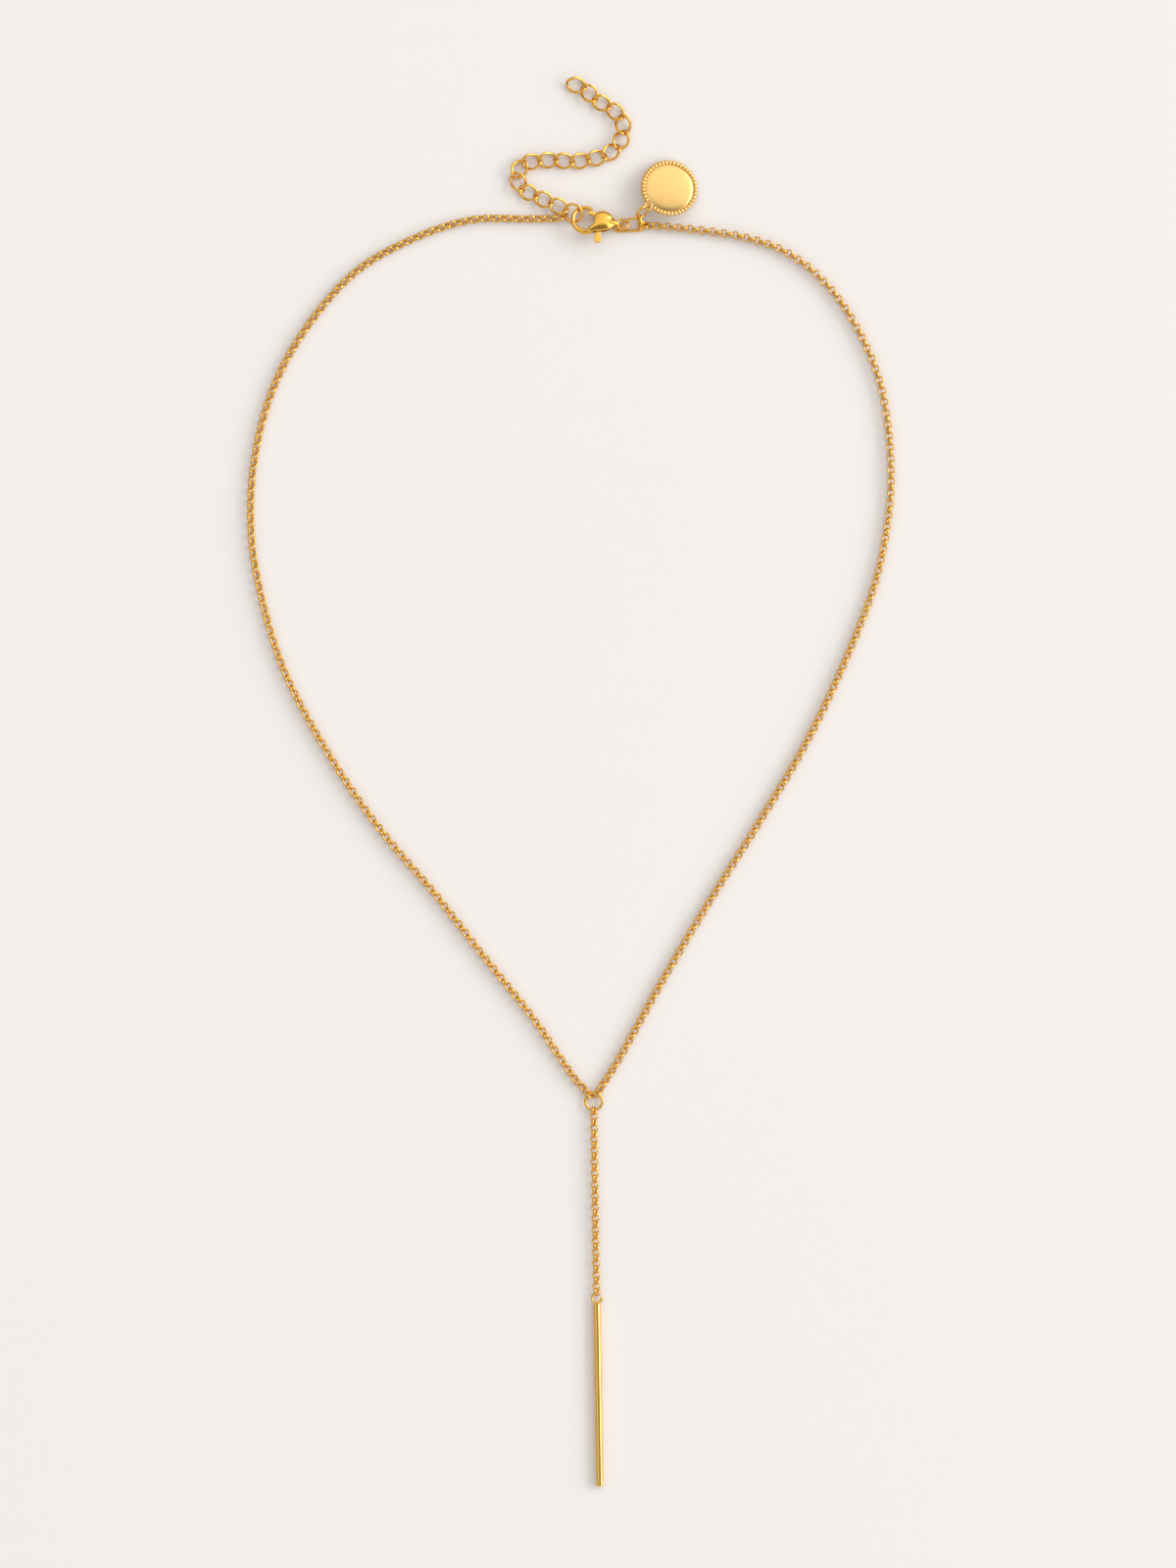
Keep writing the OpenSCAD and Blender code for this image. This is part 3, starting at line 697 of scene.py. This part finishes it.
rivet_bm = bmesh.new()
bmesh.ops.create_cone(rivet_bm, cap_ends=True, segments=32, radius1=RIVET_RADIUS,
                      radius2=RIVET_RADIUS, depth=RIVET_LENGTH)
for side in (-1, 1):
    head = bmesh.ops.create_uvsphere(rivet_bm, u_segments=32, v_segments=16, radius=HEAD_RADIUS)
    bmesh.ops.transform(rivet_bm, verts=head["verts"],
                        matrix=Matrix.Translation((0, 0, side * RIVET_LENGTH / 2))
                        @ Matrix.Diagonal((1, 1, HEAD_FLATNESS, 1)))
bmesh.ops.transform(rivet_bm, verts=rivet_bm.verts,
                    matrix=CLASP_PLACE @ Matrix.Translation((*RIVET_AT, 0)))
cast_piece("rivet", rivet_bm, [], RIVET_VOXEL, RIVET_PASSES, polished_gold,
           ["clasp_rivet"])

# %% [markdown]
# The tag is a struck disc with a slightly domed face. A sphere does for it too: all of its points
# are pressed down to a thin plate, whose height depends on the distance from the middle. The plate
# leans from its ring down to the surface, and its face stays plain.

# %% The tag's disc
TAG_UPHILL = 232
TAG_EYE_TURN = 222
TAG_LEAN = -13.4
TAG_PLACE = (Matrix.Scale(MM, 4) @ Matrix.Translation((16.94, 102.95, 1.49))
             @ Matrix.Rotation(math.radians(TAG_UPHILL), 4, "Z")
             @ Matrix.Rotation(math.radians(TAG_LEAN), 4, "Y")
             @ Matrix.Rotation(math.radians(TAG_EYE_TURN - TAG_UPHILL), 4, "Z"))
DISC_RADIUS = 4.3
DISC_HALF_HEIGHT = 0.26
DOME_RISE = 0.2

tag_bm = bmesh.new()
bmesh.ops.create_uvsphere(tag_bm, u_segments=96, v_segments=48, radius=1)
for vert in tag_bm.verts:
    out = min(math.hypot(vert.co.x, vert.co.y), 1)
    dome = DOME_RISE * (1 - out ** 2) if vert.co.z > 0 else 0
    edge = DISC_HALF_HEIGHT * (1 - out ** 14) ** 0.5
    vert.co = (DISC_RADIUS * vert.co.x, DISC_RADIUS * vert.co.y, math.copysign(edge, vert.co.z) + dome)
print(f"the disc has {len(tag_bm.faces)} faces")

# %% [markdown]
# Its rim is a row of touching beads, as if a string of them were soldered round the disc. Each is
# a flattened sphere, placed by a turn round the middle. The two beads nearest the eye are left
# out, so that the opening of the eye stays free.

# %% The tag's beads and eye
TAG_RADIUS = 5.05
TAG_BEADS = 44
BEAD_HALVES = (0.48, 0.36, 0.37)
TAG_EYE_OUT = 5
TAG_EYE_RADIUS = 0.63
TAG_EYE_WIRE = 0.34

for k in range(1, TAG_BEADS - 1):
    bead = bmesh.ops.create_uvsphere(tag_bm, u_segments=16, v_segments=10, radius=1)["verts"]
    turn = math.tau * (k + 0.5) / TAG_BEADS
    bmesh.ops.transform(tag_bm, verts=bead, matrix=Matrix.Rotation(turn, 4, "Z")
                        @ Matrix.Translation((TAG_RADIUS - BEAD_HALVES[0], 0, 0))
                        @ Matrix.Diagonal((*BEAD_HALVES, 1)))
bmesh.ops.transform(tag_bm, verts=tag_bm.verts, matrix=TAG_PLACE)
tag_eye_points = ring_line(Vector((TAG_EYE_OUT, 0, 0)), TAG_EYE_RADIUS)
add_wire(tag_bm, TAG_PLACE, tag_eye_points, [TAG_EYE_WIRE / 2] * len(tag_eye_points))
finish_piece("beaded_tag", tag_bm, pale_gold, ["tag"])

# %% [markdown]
# The rings and the bar are plain turned and bent wire. They keep their solids from the imported
# model, because their shapes are exact there, and only their finish is new.

# %% Finishes of the kept solids
kept = {"junction_ring": polished_gold, "end_ring": polished_gold, "chain_ring": polished_gold,
        "tag_ring": polished_gold, "bar_pendant": bar_gold}
for node, finish in kept.items():
    nodes[node].data.materials.clear()
    nodes[node].data.materials.append(finish)
print("kept solids:", ", ".join(kept))

# %% [markdown]
# The surface under the necklace is an even, warm white. A curved backdrop isn't needed, because
# the camera looks straight down, so it is one large plane with a very faint grain. It is marked as
# stage, because it isn't part of the object.

# %% The pale surface
SURFACE_REACH = 3

surface_bm = bmesh.new()
bmesh.ops.create_grid(surface_bm, x_segments=1, y_segments=1, size=SURFACE_REACH)
surface_mesh = bpy.data.meshes.new("surface")
surface_bm.to_mesh(surface_mesh)
surface_bm.free()
surface = bpy.data.objects.new("surface", surface_mesh)
bpy.context.scene.collection.objects.link(surface)
paper = bpy.data.materials.new("pale_surface")
paper.use_nodes = True
paper_shader = paper.node_tree.nodes["Principled BSDF"]
paper_shader.inputs["Roughness"].default_value = 0.7
paper_shader.inputs["Specular IOR Level"].default_value = 0.2
paper_grain = paper.node_tree.nodes.new("ShaderNodeTexNoise")
paper_grain.inputs["Scale"].default_value = 60
paper_tone = paper.node_tree.nodes.new("ShaderNodeMix")
paper_tone.data_type = "RGBA"
paper_tone.inputs["A"].default_value = (0.888, 0.864, 0.855, 1)
paper_tone.inputs["B"].default_value = (0.898, 0.874, 0.865, 1)
paper.node_tree.links.new(paper_grain.outputs["Fac"], paper_tone.inputs["Factor"])
paper.node_tree.links.new(paper_tone.outputs["Result"], paper_shader.inputs["Base Color"])
surface_mesh.materials.append(paper)
surface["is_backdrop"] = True
print("surface laid at height 0")


# %% [markdown]
# The light is a wide dome that is brighter towards the right and dim near the horizon, with one
# stronger soft box low on the right. A lamp alone would leave the metal black around its
# highlights, and a dome alone would throw no shadow. Polished metal also needs something dark to
# show: a round dark patch of the dome, a little towards the viewer's side, gives the bar and the
# clasp a dark band between their gold left half and bright right edge.

# %% The soft box
KEY_DISTANCE = 3
KEY_BRIGHTNESS = 4.5

key_data = bpy.data.lights.new("key", "AREA")
key_data.shape = "RECTANGLE"
key_data.size = 2.6
key_data.size_y = 1.4
key_data.energy = KEY_BRIGHTNESS * math.pi * key_data.size * key_data.size_y
key = bpy.data.objects.new("key", key_data)
key.location = Vector((0.88, 0.25, 0.4)).normalized() * KEY_DISTANCE
key.rotation_euler = (-key.location).to_track_quat("-Z", "Y").to_euler()
bpy.context.scene.collection.objects.link(key)
print(f"key {key_data.energy:.0f} W")

# %% [markdown]
# The dome's brightness is a product of three shares. Each share turns smoothly from one value to
# another as the direction of sight comes nearer to a chosen direction. An image would do the same,
# but a few numbers are easier to tune to the bands that the metal shows.

# %% The dome
dome = bpy.data.worlds.new("dome")
dome.use_nodes = True
sky = dome.node_tree
direction = sky.nodes.new("ShaderNodeTexCoord")


def sky_share(towards, start, end, low, high):
    turned = sky.nodes.new("ShaderNodeVectorMath")
    turned.operation = "DOT_PRODUCT"
    turned.inputs[1].default_value = Vector(towards).normalized()
    sky.links.new(direction.outputs["Generated"], turned.inputs[0])
    share = sky.nodes.new("ShaderNodeMapRange")
    share.interpolation_type = "SMOOTHSTEP"
    for title, value in zip(("From Min", "From Max", "To Min", "To Max"), (start, end, low, high)):
        share.inputs[title].default_value = value
    sky.links.new(turned.outputs["Value"], share.inputs["Value"])
    return share.outputs["Result"]


def product(first, second):
    both = sky.nodes.new("ShaderNodeMath")
    both.operation = "MULTIPLY"
    sky.links.new(first, both.inputs[0])
    sky.links.new(second, both.inputs[1])
    return both.outputs[0]


brighter_right = sky_share((1, 0, 0), -0.8, 0.8, 0.78, 1.55)
dark_patch = sky_share((0.28, -0.2, 0.94), 0.81, 0.95, 1, 0.2)
dim_horizon = sky_share((0, 0, 1), 0.1, 0.6, 0.2, 1)
sky.links.new(product(product(brighter_right, dark_patch), dim_horizon),
              sky.nodes["Background"].inputs["Strength"])
sky.nodes["Background"].inputs["Color"].default_value = (1, 0.975, 0.945, 1)
bpy.context.scene.world = dome
bpy.context.scene.view_settings.view_transform = "Standard"
print("dome with one darker patch")

# %% [markdown]
# The sizes of the imported model and of the dressed one are printed side by side.

# %% Print the sizes
dressed_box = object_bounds()
for title, box in (("solids", cad_box), ("dressed", dressed_box)):
    print(title, [[round(v / MM, 2) for v in corner] for corner in box])
